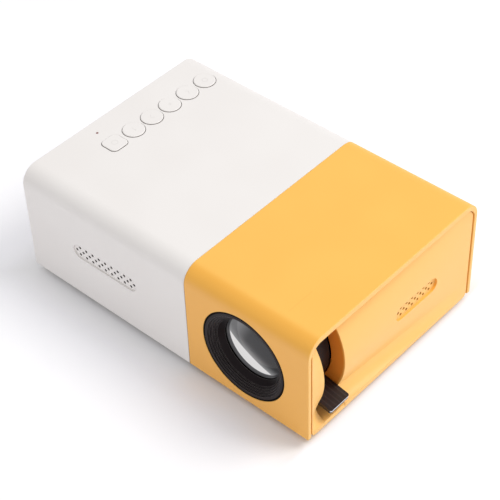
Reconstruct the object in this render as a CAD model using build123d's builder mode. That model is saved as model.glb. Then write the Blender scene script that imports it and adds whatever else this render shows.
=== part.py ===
from build123d import *
import os
from math import cos, radians, sin, sqrt

os.makedirs("parts", exist_ok=True)

# A small desktop projector: a two-tone plastic box lying on its long side, with
# the lens in one long side and a lever in the yellow end that turns the focus ring.
# X runs along the box from the white end to the yellow end, the lens looks along
# -Y, and Z is up. The origin lies on the table under the middle of the whole thing.

# ---- body ----
body_l = 126.0
body_w = 86.4
foot_h = 3.0
lever_proud = 2.0        # the lever's tip stands out past the yellow end
edge_r = 6.5             # rounding of the two long top edges
side_wall = 1.5
top_wall = 2.2
base_t = 2.0
panel_t = 2.0
cover_lift = 0.5         # the covers end this far above the underside
draft = 0.03             # the end panel leans in this much over its height
panel_inset = 0.25       # end panels stand this far inside the covers' rims
base_gap = 0.65          # shadow gap between base and covers
rim_edge_r = 0.35        # rounding of the covers' end rims
seam_edge = 0.12         # broken edge on both sides of the seam
base_edge_r = 2.0
seam_gap = 0.12          # visible seam between the two colours
tongue_l = 3.0
tongue_t = 1.0
fit = 0.1                # clearance of pieces that locate each other
run = 0.05               # radial clearance of turning and sliding fits

# ---- lens and focus ----
front_glass_r = 11.8
bezel_w = 5.2            # bezel round the front glass
funnel_d = 4.7
bezel_lip = 1.6
glass_lap = 0.5          # edge of the front glass that its cell covers
glass_d = 6.2            # rim of the front glass behind the front face
cell_wall = 1.3
barrel_wall = 1.9
ring_wall = 2.7
band_rise = 2.6          # raised band of the focus ring, seen through the slot
ring_room = 0.6          # clearance of the focus ring over the floor
slot_room = 5.9          # edge circle of the finger slot past that band
lens_room = 2.3          # top of that band below the top face
slot_margin = 0.5        # end of the body past the slot's edge circle
lens_side = 24.4         # lens axis from the seam between the colours
slot_near = 8.3          # slot edges, measured from the front face
slot_far = 18.4
lever_t = 1.5
lever_corner_r = 0.8
lever_drop = 11.0        # slope of the lever's top face in degrees
cam_lead = 4.4           # focus travel in millimetres per radian
ledge_blend = 5.0        # soft corner between the end panel and its ledge
turn_down = 5.0
turn_up = 58.0
pin_r = 1.0
pin_count = 3

glass_seen_r = front_glass_r - glass_lap
funnel_r = front_glass_r
bezel_r = front_glass_r + bezel_w
cell_r = front_glass_r + cell_wall
barrel_in = cell_r + run
barrel_r = barrel_in + barrel_wall
ring_in = barrel_r + run
ring_r = ring_in + ring_wall
band_r = ring_r + band_rise
lens_up = ring_r + base_t + ring_room
slot_r = band_r + slot_room
body_h = lens_up + band_r + lens_room
lens_inset = slot_r + slot_margin

mid_x = -lever_proud / 2
end_w = mid_x - body_l / 2
end_y = mid_x + body_l / 2
z0 = foot_h
top_z = z0 + body_h
roof_z = top_z - top_wall
floor_z = z0 + base_t
front_y = -body_w / 2
back_y = body_w / 2
wall_in = body_w / 2 - side_wall
base_half = wall_in - base_gap
inner_r = edge_r - side_wall
panel_x = end_y - panel_inset
panel_w = end_w + panel_inset
panel_top = roof_z - fit
split_x = end_y - lens_inset - lens_side
lens_x = end_y - lens_inset
lens_z = z0 + lens_up
slot_front = front_y + slot_near
slot_back = front_y + slot_far
ring_front = slot_front + 0.4
ring_back = slot_back - 0.4
lens_axis = Axis((lens_x, 0, lens_z), (0, 1, 0))
lens_plane = Plane(origin=(lens_x, 0, lens_z))

# ---- light engine ----
engine_wall = 1.6
engine_front = front_y + 29.2
engine_back = back_y - 15.2
engine_low = z0 + 3.2
engine_top = roof_z - 3.9
lid_t = 1.6
led_inset = 29.0         # inside of the lamp wall from the white end
chamber_r = 16.8         # mirror chamber reaches this far past the lens axis
mirror_t = 1.5
mirror_pad_t = 0.4
lamp_x = end_w + led_inset
engine_mid_y = (engine_front + engine_back) / 2
engine_mid_z = (engine_low + engine_top) / 2
engine_w = engine_back - engine_front
inner_w = engine_w - 2 * engine_wall
inner_h = engine_top - engine_low - engine_wall
inner_mid_z = (engine_low + engine_wall + engine_top) / 2
mirror_back = mirror_t + engine_wall + mirror_pad_t
corner_sum = lens_x + engine_mid_y + mirror_back * sqrt(2)
plate_t = 1.5
rib_t = 1.0
rib_d = 1.4

# ---- keys ----
key_inset = 14.15        # row of keys from the white end
key_side = 10.55         # first key from the back face
key_count = 5
key_r = 4.05
key_space = 0.9          # between one round key and the next
key_pitch = 2 * key_r + key_space
key_gap = 0.15
power_w = 7.5
power_space = 1.5        # between the last round key and the power key
power_step = key_r + power_space + power_w / 2
power_r = 2.0
key_proud = 0.35
key_lip = 0.3
light_inset = 5.6
light_r = 0.42

key_x = end_w + key_inset
key_y = [back_y - key_side - key_pitch * i for i in range(key_count)]
power_y = key_y[-1] - power_step
board_t = 1.2
switch_h = 1.6
switch_w = 4.6
stem_r = 1.1
stem_low = roof_z - 2.6
key_board_z = roof_z - 2.3 - switch_h
key_board_low = key_board_z - board_t
pcb_z = z0 + 4.8
pcb_t = 1.6
pcb_top = pcb_z + pcb_t

# ---- fan ----
fan_size = 32.9
fan_t = 9.6
fan_x = end_w + 27.5
fan_z = floor_z + 0.4 + fan_size / 2
fan_y = wall_in - 1.0 - fan_t

# ---- grilles ----
hole_r = 0.55
row_step = 1.5
hole_pitch = 3.0
speaker_x = end_w + 37.2
speaker_w = 29.6
speaker_z = z0 + 20.8
pill_h = 5.8
recess_d = 0.5
vent_y = front_y + 55.3
vent_w = 21.8

# ---- fixings and feet ----
foot_r = 5.0
foot_x = 47.0
foot_y = back_y - 12.2
foot_seat = 0.6
screw_r = 1.0
screw_head_r = 2.3
screw_head_h = 1.3
post_r = 2.8
seat_h = 1.5
tripod_r = 3.175
tripod_l = 6.5
tripod_x = lens_x - 32.2
tripod_y = front_y + 19.2
insert_r = 4.4


def along(x):
    """Plane across the box at x: local x is Y, local y is Z, normal +X."""
    return Plane.YZ.offset(x)


def across(y):
    """Plane along the box at y: local x is X, local y is Z, normal -Y."""
    return Plane.XZ.offset(-y)


def level(z):
    return Plane.XY.offset(z)


def block(x1, x2, y1, y2, z1, z2):
    """Rectangle at z1 that is extruded up to z2."""
    with BuildSketch(level(z1)) as outline:
        with Locations(((x1 + x2) / 2, (y1 + y2) / 2)):
            Rectangle(x2 - x1, y2 - y1)
    return extrude(outline.sketch, amount=z2 - z1, mode=Mode.PRIVATE)


def arch(x, half, low, high, radius):
    """Section of a cover: a flat top between two rounded upper corners."""
    with BuildSketch(along(x)) as section:
        with Locations((0, (low + high) / 2)):
            Rectangle(2 * half, high - low)
        fillet(section.vertices().group_by(Axis.Y)[-1], radius)
    return section.sketch


def pill(plane, centre_u, centre_v, width, height):
    with BuildSketch(plane) as outline:
        with Locations((centre_u, centre_v)):
            SlotOverall(width, height)
    return outline.sketch


def hole_rows(plane, centre_u, centre_v, counts, radius=hole_r, pitch=hole_pitch, step=row_step):
    """Staggered rows of round holes, one count for each row from the top down."""
    with BuildSketch(plane) as pattern:
        for row, count in enumerate(counts):
            row_v = centre_v + step * ((len(counts) - 1) / 2 - row)
            with Locations((centre_u, row_v)):
                with GridLocations(pitch, step, count, 1):
                    Circle(radius)
    return pattern.sketch


def turned(points):
    """Half section beside the lens axis, as radius and place along Y."""
    with BuildSketch(lens_plane) as half:
        with BuildLine():
            Polyline(*points, close=True)
        make_face()
    return half.sketch


def radial(angle, y, radius):
    """Plane on a circle about the lens axis, facing outwards. Angle 0 is +X, 90 is +Z."""
    out = Vector(cos(radians(angle)), 0, sin(radians(angle)))
    return Plane(origin=Vector(lens_x, y, lens_z) + out * radius, x_dir=(0, 1, 0), z_dir=out)


def save(builder, name):
    builder.part.label = name
    export_step(builder.part, f"parts/{name}.step")


# Screw places: the covers' posts stand over the base's seats.
white_posts = [(end_w + 6.5, foot_y + 5.5), (end_w + 6.5, -foot_y - 5.5)]
yellow_posts = [(lens_x - bezel_r - 4.9, front_y + 5.2), (end_y - 7.0, foot_y + 5.5)]
white_feet = [(mid_x - foot_x, foot_y), (mid_x - foot_x, -foot_y)]
yellow_feet = [(mid_x + foot_x, foot_y), (mid_x + foot_x, -foot_y)]
post_low = floor_z + seat_h


# ---- white cover: moulded U over the white stretch, with keys, speaker and exhaust ----
with BuildPart() as white_cover:
    extrude(arch(end_w, body_w / 2, z0 + cover_lift, top_z, edge_r), amount=split_x - end_w)
    extrude(
        arch(end_w, wall_in, z0, roof_z, inner_r), amount=split_x - end_w, mode=Mode.SUBTRACT
    )
    with BuildSketch(level(roof_z)):
        with Locations(*[(key_x, y) for y in key_y]):
            Circle(key_r + key_gap)
        with Locations((key_x, power_y)):
            RectangleRounded(power_w + 2 * key_gap, power_w + 2 * key_gap, power_r + key_gap)
        with Locations((end_w + light_inset, power_y)):
            Circle(light_r + 0.05)
    extrude(amount=top_wall, mode=Mode.SUBTRACT)
    extrude(
        pill(across(front_y), speaker_x, speaker_z, speaker_w, pill_h),
        amount=-recess_d, mode=Mode.SUBTRACT,
    )
    extrude(
        hole_rows(across(front_y), speaker_x, speaker_z, [9, 10, 9]),
        amount=-side_wall, mode=Mode.SUBTRACT,
    )
    with BuildSketch(across(back_y)):
        with Locations((fan_x, fan_z)):
            RectangleRounded(35, 21, 3)
    extrude(amount=recess_d, mode=Mode.SUBTRACT)
    extrude(
        hole_rows(across(back_y), fan_x, fan_z, [10, 11, 10, 11, 10, 11, 10], 0.9, 3.1, 2.7),
        amount=side_wall, mode=Mode.SUBTRACT,
    )
    with BuildSketch(level(post_low)):
        with Locations(*white_posts):
            Circle(post_r)
    extrude(until=Until.NEXT)
    with BuildSketch(level(post_low)):
        with Locations(*white_posts):
            Circle(screw_r)
    extrude(amount=9, mode=Mode.SUBTRACT)
    fillet(white_cover.edges().group_by(Axis.X)[0], rim_edge_r)
    chamfer(white_cover.edges().group_by(Axis.X)[-1], seam_edge)
save(white_cover, "white_cover")

# ---- yellow cover: carries on the section, with a tongue under the white cover ----
tongue_low = floor_z + base_gap
tongue_in = wall_in - fit - tongue_t
with BuildPart() as yellow_cover:
    extrude(
        arch(split_x + seam_gap, body_w / 2, z0 + cover_lift, top_z, edge_r),
        amount=end_y - split_x - seam_gap,
    )
    extrude(
        arch(split_x, wall_in, z0, roof_z, inner_r), amount=end_y - split_x, mode=Mode.SUBTRACT
    )
    extrude(
        arch(split_x + seam_gap, wall_in, tongue_low, roof_z, inner_r), amount=tongue_l
    )
    extrude(
        arch(split_x - tongue_l, wall_in - fit, tongue_low, roof_z - fit, inner_r),
        amount=tongue_l + seam_gap,
    )
    extrude(
        arch(split_x - tongue_l, tongue_in, z0, roof_z - fit - tongue_t, inner_r - tongue_t),
        amount=2 * tongue_l + seam_gap, mode=Mode.SUBTRACT,
    )
    with BuildSketch(across(front_y)):
        with Locations((lens_x, lens_z)):
            Circle(bezel_r + fit)
    extrude(amount=-side_wall - inner_r, mode=Mode.SUBTRACT)
    with BuildSketch(level(post_low)):
        with Locations(*yellow_posts):
            Circle(post_r)
    extrude(until=Until.NEXT)
    with BuildSketch(level(post_low)):
        with Locations(*yellow_posts):
            Circle(screw_r)
    extrude(amount=9, mode=Mode.SUBTRACT)
    fillet(yellow_cover.edges().group_by(Axis.X)[-1], rim_edge_r)
save(yellow_cover, "yellow_cover")

# ---- white base: floor of the white stretch with the socket wall at its end ----
socket_wall_x = panel_w + panel_t
sockets = {
    "power": (front_y + 15.5, 9.0, z0 + 7.0, 11.0),
    "video": (front_y + 29.5, 15.0, z0 + 7.0, 5.8),
    "data": (front_y + 45.5, 13.4, z0 + 7.0, 6.4),
    "sound": (front_y + 57.0, 7.0, z0 + 7.0, 6.4),
    "card": (front_y + 67.8, 12.4, z0 + 7.0, 2.2),
}
window_y = back_y - 13
window_z = z0 + 28
board_x2 = socket_wall_x + 16.4
board_posts = [
    (end_w + 14.5, front_y + 5.5), (tripod_x - 13, front_y + 5.0), (board_x2 - 2.8, front_y + 50)
]
ear_r = 2.6
ear_gap = 3.2
engine_ears = [
    (split_x + 6.0, engine_back + ear_gap, 180),
    (lens_x - 2.0, corner_sum + ear_gap * sqrt(2) - lens_x + 2.0, 135),
    (split_x + 4.0, engine_front - ear_gap, 0),
]
ear_places = [(x, y) for x, y, turn in engine_ears]
lap_l = 4.0


def case_section(x, high):
    """Section that fills the covers' inside up to a height, with rounded lower corners."""
    with BuildSketch(along(x)) as section:
        with Locations((0, (z0 + high) / 2)):
            Rectangle(2 * base_half, high - z0)
        if high > floor_z:
            fillet(section.vertices().group_by(Axis.Y)[-1], inner_r - base_gap)
        fillet(section.vertices().group_by(Axis.Y)[0], base_edge_r - 0.2)
    return section.sketch


def sink_screws(places):
    """Counterbored seats under the floor and clearance holes through it."""
    with Locations(*[Location((x, y, z0), (180, 0, 0)) for x, y in places]):
        CounterBoreHole(screw_r + 0.3, screw_head_r + 0.2, screw_head_h + 0.3, base_t + seat_h)


with BuildPart() as white_base:
    extrude(case_section(panel_w, floor_z), amount=split_x - panel_w)
    extrude(case_section(panel_w, panel_top), amount=panel_t)
    with BuildSketch(along(panel_w)):
        for mid_y, wide, mid_z, tall in sockets.values():
            with Locations((mid_y, mid_z + tall / 2)):
                RectangleRounded(wide + 2 * fit, tall + 2 * fit, 0.8)
        with Locations((window_y, window_z)):
            RectangleRounded(9 + 2 * fit, 6 + 2 * fit, 1.5)
    extrude(amount=panel_t, mode=Mode.SUBTRACT)
    with BuildSketch(level(floor_z)):
        with Locations(*white_posts):
            Circle(post_r)
    extrude(amount=seat_h)
    with BuildSketch(level(floor_z)):
        with Locations(*board_posts):
            Circle(2.4)
    extrude(amount=pcb_z - floor_z)
    with BuildSketch(level(floor_z)):
        with Locations(*board_posts):
            Circle(screw_r)
    extrude(amount=pcb_z - floor_z, mode=Mode.SUBTRACT)
    with BuildSketch(level(floor_z)):
        with Locations((tripod_x, tripod_y)):
            Circle(insert_r + 1.6)
    extrude(amount=tripod_l - base_t)
    with BuildSketch(level(z0)):
        with Locations((tripod_x, tripod_y)):
            Circle(insert_r)
    extrude(amount=tripod_l, mode=Mode.SUBTRACT)
    with BuildSketch(level(z0)):
        with Locations(*white_feet):
            Circle(foot_r + fit)
    extrude(amount=foot_seat, mode=Mode.SUBTRACT)
    sink_screws(white_posts)
    add(block(split_x, split_x + lap_l, -base_half + 8, base_half - 8, z0 + base_t / 2 + fit, floor_z))
save(white_base, "white_base")

# ---- yellow base: floor, ledge and the end panel that sinks towards the finger slot ----
def slot_section(y):
    """Curved slice of the end panel: a band round the lens axis that blends into the ledge."""
    low = floor_z - base_t / 2 - lens_z
    foot = floor_z + ledge_blend - lens_z
    high = panel_top - lens_z
    inner = slot_r - panel_t
    foot_x = lens_x + sqrt(slot_r**2 - foot**2)
    toe_x = foot_x + ledge_blend
    cut = ledge_blend * (1 - sqrt(0.5))
    with BuildSketch(across(y)) as section:
        with BuildLine():
            outer_high = (lens_x + sqrt(slot_r**2 - high**2), panel_top)
            inner_low = (lens_x + sqrt(inner**2 - low**2), lens_z + low)
            inner_high = (lens_x + sqrt(inner**2 - high**2), panel_top)
            Line((toe_x, lens_z + low), (toe_x, floor_z))
            ThreePointArc(
                (toe_x, floor_z), (foot_x + cut, floor_z + cut), (foot_x, lens_z + foot)
            )
            ThreePointArc((foot_x, lens_z + foot), (lens_x + slot_r, lens_z), outer_high)
            Line(outer_high, inner_high)
            ThreePointArc(inner_high, (lens_x + inner, lens_z), inner_low)
            Line(inner_low, (toe_x, lens_z + low))
        make_face()
    return section.sketch


def rim_section(y):
    """Flat slice of the end panel beside the cover's rim."""
    low = floor_z - base_t / 2
    back_x = panel_x - panel_t
    with BuildSketch(across(y)) as section:
        with BuildLine():
            Line((panel_x, low), (panel_x, floor_z))
            Line((panel_x, floor_z), (panel_x - draft, floor_z + ledge_blend))
            Line((panel_x - draft, floor_z + ledge_blend), (panel_x - 2 * draft, panel_top))
            Line((panel_x - 2 * draft, panel_top), (back_x, panel_top))
            Line((back_x, panel_top), (back_x, low))
            Line((back_x, low), (panel_x, low))
        make_face()
    return section.sketch


def slot_wall(y, towards):
    """Wall beside the slot, between the finger slot's edge and the focus ring."""
    with BuildSketch(across(y)) as section:
        with Locations((lens_x, lens_z)):
            Circle(slot_r - panel_t / 2)
            Circle(band_r + 0.3, mode=Mode.SUBTRACT)
        with Locations((lens_x + slot_r / 2, (floor_z - 1 + panel_top) / 2)):
            Rectangle(slot_r, panel_top - floor_z + 1, mode=Mode.INTERSECT)
        with Locations((lens_x + 2, lens_z)):
            Rectangle(12, 2 * slot_r, mode=Mode.SUBTRACT)
    return extrude(section.sketch, amount=towards, mode=Mode.PRIVATE)


with BuildPart() as yellow_base:
    extrude(case_section(split_x + seam_gap, floor_z), amount=panel_x - split_x - seam_gap)
    loft([rim_section(-base_half), slot_section(slot_front)], ruled=True)
    loft([slot_section(slot_back), rim_section(base_half)], ruled=True)
    add(slot_wall(slot_back, -1.8))
    add(slot_wall(slot_front, 1.8))
    extrude(case_section(split_x, panel_top), amount=end_y - split_x, mode=Mode.INTERSECT)
    extrude(
        pill(along(end_y), vent_y, lens_z, vent_w, pill_h),
        amount=-(panel_inset + 2 * recess_d), mode=Mode.SUBTRACT,
    )
    extrude(
        hole_rows(along(end_y), vent_y, lens_z, [6, 7, 6]),
        amount=-(2 * panel_t + panel_inset), mode=Mode.SUBTRACT,
    )
    with BuildSketch(level(floor_z)):
        with Locations(*yellow_posts):
            Circle(post_r)
    extrude(amount=seat_h)
    with BuildSketch(level(floor_z)):
        with Locations(*ear_places):
            Circle(ear_r)
    extrude(amount=engine_low - floor_z)
    with BuildSketch(level(floor_z)):
        with Locations(*ear_places):
            Circle(screw_r)
    extrude(amount=engine_low - floor_z, mode=Mode.SUBTRACT)
    with BuildSketch(level(z0)):
        with Locations(*yellow_feet):
            Circle(foot_r + fit)
    extrude(amount=foot_seat, mode=Mode.SUBTRACT)
    sink_screws(yellow_posts)
    add(
        block(
            split_x, split_x + lap_l + fit, -base_half + 8 - fit, base_half - 8 + fit,
            z0 + base_t / 2, floor_z,
        ),
        mode=Mode.SUBTRACT,
    )
save(yellow_base, "yellow_base")

# ---- feet, brass tripod insert and the screws that close the case ----
for number, (x, y) in enumerate(white_feet + yellow_feet, 1):
    with BuildPart() as foot:
        with BuildSketch(level(0)):
            with Locations((x, y)):
                Circle(foot_r)
        extrude(amount=foot_h + foot_seat)
        chamfer(foot.edges().filter_by(GeomType.CIRCLE).group_by(Axis.Z)[0], 0.6)
    save(foot, f"foot_{number}")

with BuildPart() as tripod_insert:
    with BuildSketch(level(z0)):
        with Locations((tripod_x, tripod_y)):
            Circle(insert_r)
            Circle(tripod_r, mode=Mode.SUBTRACT)
    extrude(amount=tripod_l)
    low_circles = tripod_insert.edges().filter_by(GeomType.CIRCLE).group_by(Axis.Z)[0]
    chamfer(low_circles.sort_by(SortBy.RADIUS)[0], 0.4)
save(tripod_insert, "tripod_insert")


def screw(x, y, head_z, length, head_r=screw_head_r, up=1):
    """Cross-head screw at (x, y) with its head at head_z; up=-1 points its shank down."""
    low, high = sorted((head_z, head_z + up * screw_head_h))
    head = block(x - head_r, x + head_r, y - head_r, y + head_r, low, high)
    with BuildSketch(level(head_z)) as disc:
        with Locations((x, y)):
            Circle(head_r)
    with BuildSketch(level(head_z)) as rod:
        with Locations((x, y)):
            Circle(screw_r)
    with BuildSketch(level(head_z)) as cross:
        with Locations((x, y)):
            Rectangle(0.5, head_r * 1.2)
            Rectangle(head_r * 1.2, 0.5)
    head &= extrude(disc.sketch, amount=up * screw_head_h, mode=Mode.PRIVATE)
    shank = extrude(rod.sketch, amount=up * length, mode=Mode.PRIVATE)
    drive = extrude(cross.sketch, amount=up * screw_head_h * 0.6, mode=Mode.PRIVATE)
    return head + shank - drive


with BuildPart() as case_screws:
    for x, y in white_posts + yellow_posts:
        add(screw(x, y, z0 + 0.3, 9.0))
save(case_screws, "case_screws")

# ---- lens bezel: stepped black funnel set in the lens hole ----
bezel_y = front_y + 0.1
inside_y = front_y + side_wall + run
bezel_steps = 4
step_d = 0.55
step_r = 0.62
throat_r = bezel_r - bezel_lip
flange_r = bezel_r + 1.3
flange_y = inside_y + 1.2
with BuildPart() as lens_bezel:
    add(turned([
        (bezel_r - 1, inside_y), (flange_r, inside_y), (flange_r, flange_y), (bezel_r - 1, flange_y)
    ]))
    revolve(axis=lens_axis)
    add(
        block(
            lens_x - flange_r, lens_x + flange_r, inside_y, flange_y,
            roof_z - inner_r - fit, top_z,
        ),
        mode=Mode.SUBTRACT,
    )
    funnel = [(bezel_r, bezel_y), (throat_r, bezel_y)]
    for step in range(bezel_steps):
        funnel.append((throat_r - step * step_r, bezel_y + (step + 1) * step_d))
        funnel.append((throat_r - (step + 1) * step_r, bezel_y + (step + 1) * step_d))
    funnel += [
        (funnel_r, front_y + funnel_d),
        (funnel_r + 1.2, front_y + funnel_d),
        (bezel_r - 0.8, flange_y),
        (bezel_r, flange_y),
    ]
    add(turned(funnel))
    revolve(axis=lens_axis)
save(lens_bezel, "lens_bezel")

# ---- fixed barrel: tube with straight slots that keep the lens cell from turning ----
pin_y = (ring_front + ring_back) / 2 - cam_lead * radians((turn_up - turn_down) / 2)
slide_low = pin_y - cam_lead * radians(turn_down)
slide_high = pin_y + cam_lead * radians(turn_up)
flange_t = 1.8
barrel_front = ring_front - 1.6
barrel_back = engine_front - run
stop_y = slot_back + 0.3
pin_angles = [90 + 360 / pin_count * i for i in range(pin_count)]
with BuildPart() as lens_barrel:
    add(turned([
        (barrel_in, barrel_front), (barrel_r, barrel_front), (barrel_r, stop_y),
        (ring_r - 1, stop_y), (ring_r - 1, stop_y + 1.4), (barrel_r, stop_y + 1.4),
        (barrel_r, barrel_back - flange_t), (barrel_r + 1.7, barrel_back - flange_t),
        (barrel_r + 1.7, barrel_back), (barrel_in, barrel_back),
    ]))
    revolve(axis=lens_axis)
    for angle in pin_angles:
        with BuildSketch(radial(angle, (slide_low + slide_high) / 2, barrel_in - 1)):
            SlotCenterToCenter(slide_high - slide_low, 2 * (pin_r + run))
        extrude(amount=barrel_wall + 2, mode=Mode.SUBTRACT)
    with BuildSketch(lens_plane):
        with BuildLine():
            Polyline(
                (barrel_r - 0.6, barrel_front + 0.5), (barrel_r + 1, barrel_front + 0.5),
                (barrel_r + 1, ring_front - 0.3), (barrel_r - 0.6, ring_front - 0.3), close=True,
            )
        make_face()
    revolve(axis=lens_axis, mode=Mode.SUBTRACT)
save(lens_barrel, "lens_barrel")

with BuildPart() as barrel_clip:
    add(turned([
        (barrel_r - 0.6, barrel_front + 0.5), (ring_in + 1.2, barrel_front + 0.5),
        (ring_in + 1.2, ring_front - 0.3), (barrel_r - 0.6, ring_front - 0.3),
    ]))
    revolve(axis=lens_axis)
    with BuildSketch(across(barrel_front)):
        with Locations((lens_x, lens_z - barrel_r)):
            Rectangle(5, 6)
    extrude(amount=-6, mode=Mode.SUBTRACT)
save(barrel_clip, "barrel_clip")

# ---- focus ring: turns on the barrel, with cam grooves inside and a raised band outside ----
band_from = -57
band_sweep = 240
groove_r = pin_r + 0.2
groove_top = ring_r - 0.9
groove_steps = 24
lever_root_r = ring_r + 0.6
lever_tip_x = end_y + lever_proud
lever_tip_z = lens_z - 12.2
lever_slope = Vector(cos(radians(-lever_drop)), sin(radians(-lever_drop)))
lever_y1 = ring_front
lever_y2 = ring_back


def lever_outline(grow, root_r):
    """Side view of the lever: a flat tongue sloping down from the ring's band."""
    tip = Vector(lever_tip_x, lever_tip_z)
    from_axis = tip - Vector(lens_x, lens_z)
    inward = from_axis.dot(lever_slope)
    aside_sq = from_axis.length**2 - inward**2
    root = tip - lever_slope * (inward - sqrt(root_r**2 - aside_sq))
    down = Vector(lever_slope.Y, -lever_slope.X)
    with BuildSketch(across(lever_y1)) as outline:
        with BuildLine():
            Polyline(
                *[(p.X, p.Y) for p in (
                    root - down * grow, tip - down * grow,
                    tip + down * (lever_t + grow), root + down * (lever_t + grow),
                )],
                close=True,
            )
        make_face()
    return outline.sketch


with BuildPart() as focus_ring:
    add(turned([
        (ring_in, ring_front), (ring_r, ring_front), (ring_r, ring_back), (ring_in, ring_back),
    ]))
    revolve(axis=lens_axis)
    with BuildSketch(across(ring_front)):
        with BuildLine():
            CenterArc((lens_x, lens_z), band_r, band_from, band_sweep)
            CenterArc((lens_x, lens_z), ring_r - 0.5, band_from, band_sweep)
            for angle in (radians(band_from), radians(band_from + band_sweep)):
                Line(
                    (lens_x + band_r * cos(angle), lens_z + band_r * sin(angle)),
                    (lens_x + (ring_r - 0.5) * cos(angle), lens_z + (ring_r - 0.5) * sin(angle)),
                )
        make_face()
    extrude(amount=-(ring_back - ring_front))
    grooves = []
    for angle in pin_angles:
        for step in range(groove_steps + 1):
            turn = -turn_down - 1 + (turn_up + turn_down + 2) * step / groove_steps
            groove_y = pin_y + cam_lead * radians(turn)
            grooves.append(radial(angle - turn, groove_y, (ring_in - 1 + groove_top) / 2))
    with Locations(*grooves):
        Cylinder(groove_r, groove_top - ring_in + 1, mode=Mode.SUBTRACT)
    extrude(lever_outline(0, lever_root_r), amount=-(lever_y2 - lever_y1), mode=Mode.SUBTRACT)
save(focus_ring, "focus_ring")

with BuildPart() as focus_lever:
    extrude(lever_outline(0, lever_root_r), amount=-(lever_y2 - lever_y1))
    tip_edges = focus_lever.edges().filter_by(Axis.Y, reverse=True).filter_by(
        lambda edge: edge.length < lever_t + 0.2 and edge.center().X > end_y
    )
    fillet(tip_edges, lever_corner_r)
save(focus_lever, "focus_lever")

# ---- lens cell: sliding tube with three lenses, a threaded retainer and three cam pins ----
cell_front = front_y + 5.3
cell_back = cell_front + 17.5
seat_r = glass_seen_r - 0.8
glass_edge = 2.4
glass_seat_y = front_y + glass_d + glass_edge
rear_seat_y = cell_back - 3.6
front_bulge = 2.1
with BuildPart() as lens_cell:
    add(turned([
        (front_glass_r, cell_front), (cell_r, cell_front), (cell_r, cell_back),
        (front_glass_r - 0.5, cell_back), (front_glass_r - 0.5, rear_seat_y),
        (seat_r, rear_seat_y), (seat_r, glass_seat_y), (front_glass_r, glass_seat_y),
    ]))
    revolve(axis=lens_axis)
    for angle in pin_angles:
        with BuildSketch(radial(angle, pin_y, seat_r - 1)):
            Circle(pin_r)
        extrude(amount=cell_r - seat_r + 2, mode=Mode.SUBTRACT)
save(lens_cell, "lens_cell")

with BuildPart() as lens_retainer:
    add(turned([
        (front_glass_r, cell_front), (front_glass_r, front_y + glass_d),
        (glass_seen_r, front_y + glass_d), (glass_seen_r + 0.35, cell_front),
    ]))
    revolve(axis=lens_axis)
save(lens_retainer, "lens_retainer")

with BuildPart() as cam_pins:
    for angle in pin_angles:
        with BuildSketch(radial(angle, pin_y, seat_r + 0.1)):
            Circle(pin_r)
        extrude(amount=groove_top - seat_r - 0.3)
save(cam_pins, "cam_pins")


def lens_half(radius, y1, bulge1, y2, bulge2, clear1=seat_r, clear2=seat_r):
    """Half section of a lens: flat rims, and faces that bulge outwards by their bulge."""
    with BuildSketch(lens_plane) as half:
        with BuildLine():
            Line((radius, y1), (radius, y2))
            Line((0, y1 - bulge1), (0, y2 + bulge2))
            Line((clear1, y1), (radius, y1))
            Line((clear2, y2), (radius, y2))
            TangentArc((0, y1 - bulge1), (clear1, y1), tangent=(1, 0))
            TangentArc((0, y2 + bulge2), (clear2, y2), tangent=(1, 0))
        make_face()
    return half.sketch


front_rim_y = front_y + glass_d
with BuildPart() as front_lens:
    add(lens_half(front_glass_r, front_rim_y, front_bulge, glass_seat_y, 0.4, glass_seen_r - 0.05))
    revolve(axis=lens_axis)
save(front_lens, "front_lens")

with BuildPart() as middle_lens:
    add(lens_half(seat_r, pin_y + 1.6, -1.0, pin_y + 4.6, -1.0, seat_r - 1, seat_r - 1))
    revolve(axis=lens_axis)
save(middle_lens, "middle_lens")

with BuildPart() as rear_lens:
    add(lens_half(front_glass_r - 0.5, rear_seat_y, 0.9, rear_seat_y + 2.2, 0.9))
    revolve(axis=lens_axis)
save(rear_lens, "rear_lens")

# ---- engine housing: black light box from the lamp wall to the mirror chamber ----
chamber_end = lens_x + chamber_r
ribbon_w = 7.0
ribbon_t = 0.3
panel_slots = {"rear_fresnel": 20.0, "lcd_panel": 26.5, "front_fresnel": 33.0}
lcd_x = lamp_x + panel_slots["lcd_panel"]
ribbon_x = lcd_x - 2.5
ribbon_z = engine_mid_z - 0.5


def engine_outline(wall):
    """Plan of the light box: a straight tunnel that ends in a mitred mirror corner."""
    low, high = engine_front + wall, engine_back - wall
    near, far = lamp_x - engine_wall + wall, chamber_end - wall
    mitre = corner_sum - wall * sqrt(2)
    with BuildSketch(level(engine_low + wall)) as plan:
        with BuildLine():
            Polyline(
                (near, low), (far, low), (far, mitre - far), (mitre - high, high), (near, high),
                close=True,
            )
        make_face()
    return plan.sketch


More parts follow.
